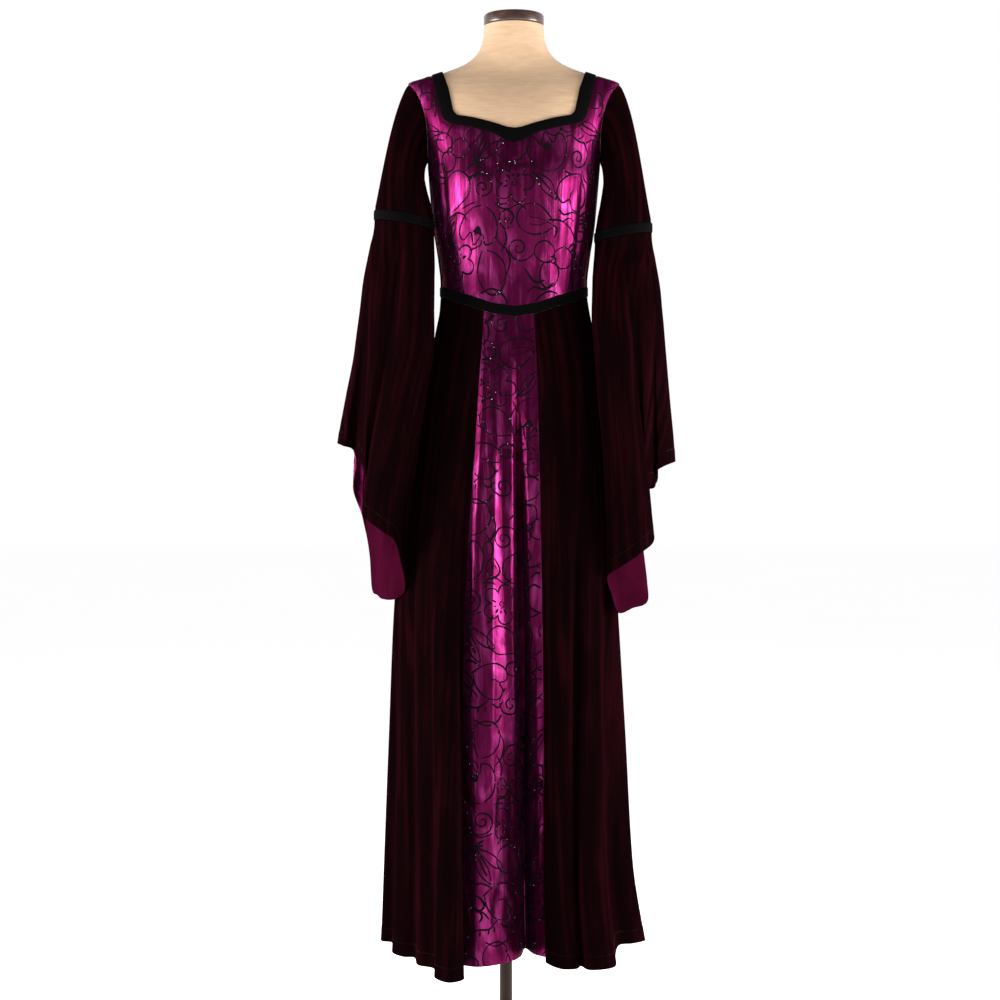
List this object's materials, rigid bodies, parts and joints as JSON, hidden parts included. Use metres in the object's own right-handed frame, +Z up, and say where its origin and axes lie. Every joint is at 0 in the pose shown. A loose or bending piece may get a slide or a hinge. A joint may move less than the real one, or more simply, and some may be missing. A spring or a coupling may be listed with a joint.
{
  "type": "velvet dress on a limbless dress form and stand",
  "caption": "Floor-length velvet dress with a square neck, panelled skirt and long bell sleeves, worn by a linen dress form on a round-based pole.",
  "frame": {"origin": "on the floor under the middle of the pole, at the base's underside", "axes": "+Z up, -Y the front of the dress, +X the viewer's right"},
  "size_m": [0.553, 0.4456, 1.685],
  "materials": {
    "dark_velvet": "deep burgundy velvet, close to black, with soft red sheen on the folds",
    "patterned_panne": "shiny crushed magenta velvet with black line flowers, tendrils and fine glitter dots",
    "black_braid": "matt black velvet band with corded edges",
    "linen": "natural woven linen cover",
    "dark_wood": "dark stained and varnished wood",
    "dark_metal": "dark brown painted steel"
  },
  "bodies": {
    "root": {"stand_base": "dark_metal", "stand_pole": "dark_metal", "form_torso": "linen", "neck_cap": "dark_wood", "bodice_front": "patterned_panne", "bodice_back": "dark_velvet", "neck_trim": "black_braid", "waist_trim": "black_braid", "upper_sleeve_left": "dark_velvet", "sleeve_band_left": "black_braid", "lower_sleeve_left": "dark_velvet", "sleeve_gusset_left": "patterned_panne", "upper_sleeve_right": "dark_velvet", "sleeve_band_right": "black_braid", "lower_sleeve_right": "dark_velvet", "skirt_front_left": "dark_velvet", "skirt_centre_panel": "patterned_panne", "skirt_front_right": "dark_velvet", "skirt_back_right": "dark_velvet", "skirt_back_left": "dark_velvet"}
  },
  "joints": []
}
